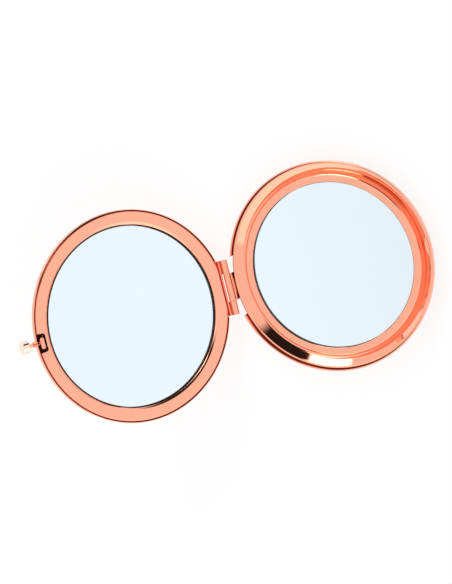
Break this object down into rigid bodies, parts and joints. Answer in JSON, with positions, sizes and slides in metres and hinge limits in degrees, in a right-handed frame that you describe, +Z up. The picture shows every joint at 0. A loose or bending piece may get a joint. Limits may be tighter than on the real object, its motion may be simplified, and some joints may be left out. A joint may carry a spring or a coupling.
{
  "type": "compact mirror",
  "caption": "Round folding compact mirror in polished rose-gold metal: a mirror in each half, pinned barrel hinge, and a push knob on the rim that frees a spring latch from a catch hook.",
  "frame": {"origin": "centre of the flat underside of the base shell", "axes": "+Z up from the table through the base's centre, +X from the hinge towards the catch, +Y along the hinge pin"},
  "size_m": [0.128, 0.07, 0.06],
  "materials": {
    "rose_gold_metal": "polished",
    "rose_gold_plated_plastic": "polished",
    "mirror_glass": "polished",
    "foam_tape": "matte",
    "foam_pad": "matte",
    "spring_steel": "satin"
  },
  "bodies": {
    "base": {"base_shell": "rose_gold_metal", "base_frame": "rose_gold_metal", "base_mirror": "mirror_glass", "base_mirror_tape": "foam_tape", "base_liner": "foam_pad", "base_hinge_leaf": "rose_gold_metal", "hinge_pin": "spring_steel", "catch_hook": "rose_gold_metal"},
    "lid": {"lid_shell": "rose_gold_metal", "lid_frame": "rose_gold_plated_plastic", "lid_mirror": "mirror_glass", "lid_mirror_tape": "foam_tape", "lid_liner": "foam_pad", "lid_hinge_leaf": "rose_gold_metal", "button_bush": "rose_gold_metal", "latch_spring": "spring_steel"},
    "button": {"button_knob": "rose_gold_metal", "button_stem": "rose_gold_metal", "latch_block": "rose_gold_metal"}
  },
  "joints": [
    {"name": "lid_hinge", "type": "hinge", "parent": "base", "child": "lid", "pos_m": [-0.0361, 0, 0.00675], "axis": [0, -1, 0], "range_deg": [-135, 45]},
    {"name": "button_press", "type": "slide", "parent": "lid", "child": "button", "axis": [0.7071, 0, -0.7071], "range_m": [0, 0.0008], "stiffness_N_per_m": 600, "springref_m": -0.0005, "deforming": ["latch_spring"]}
  ]
}
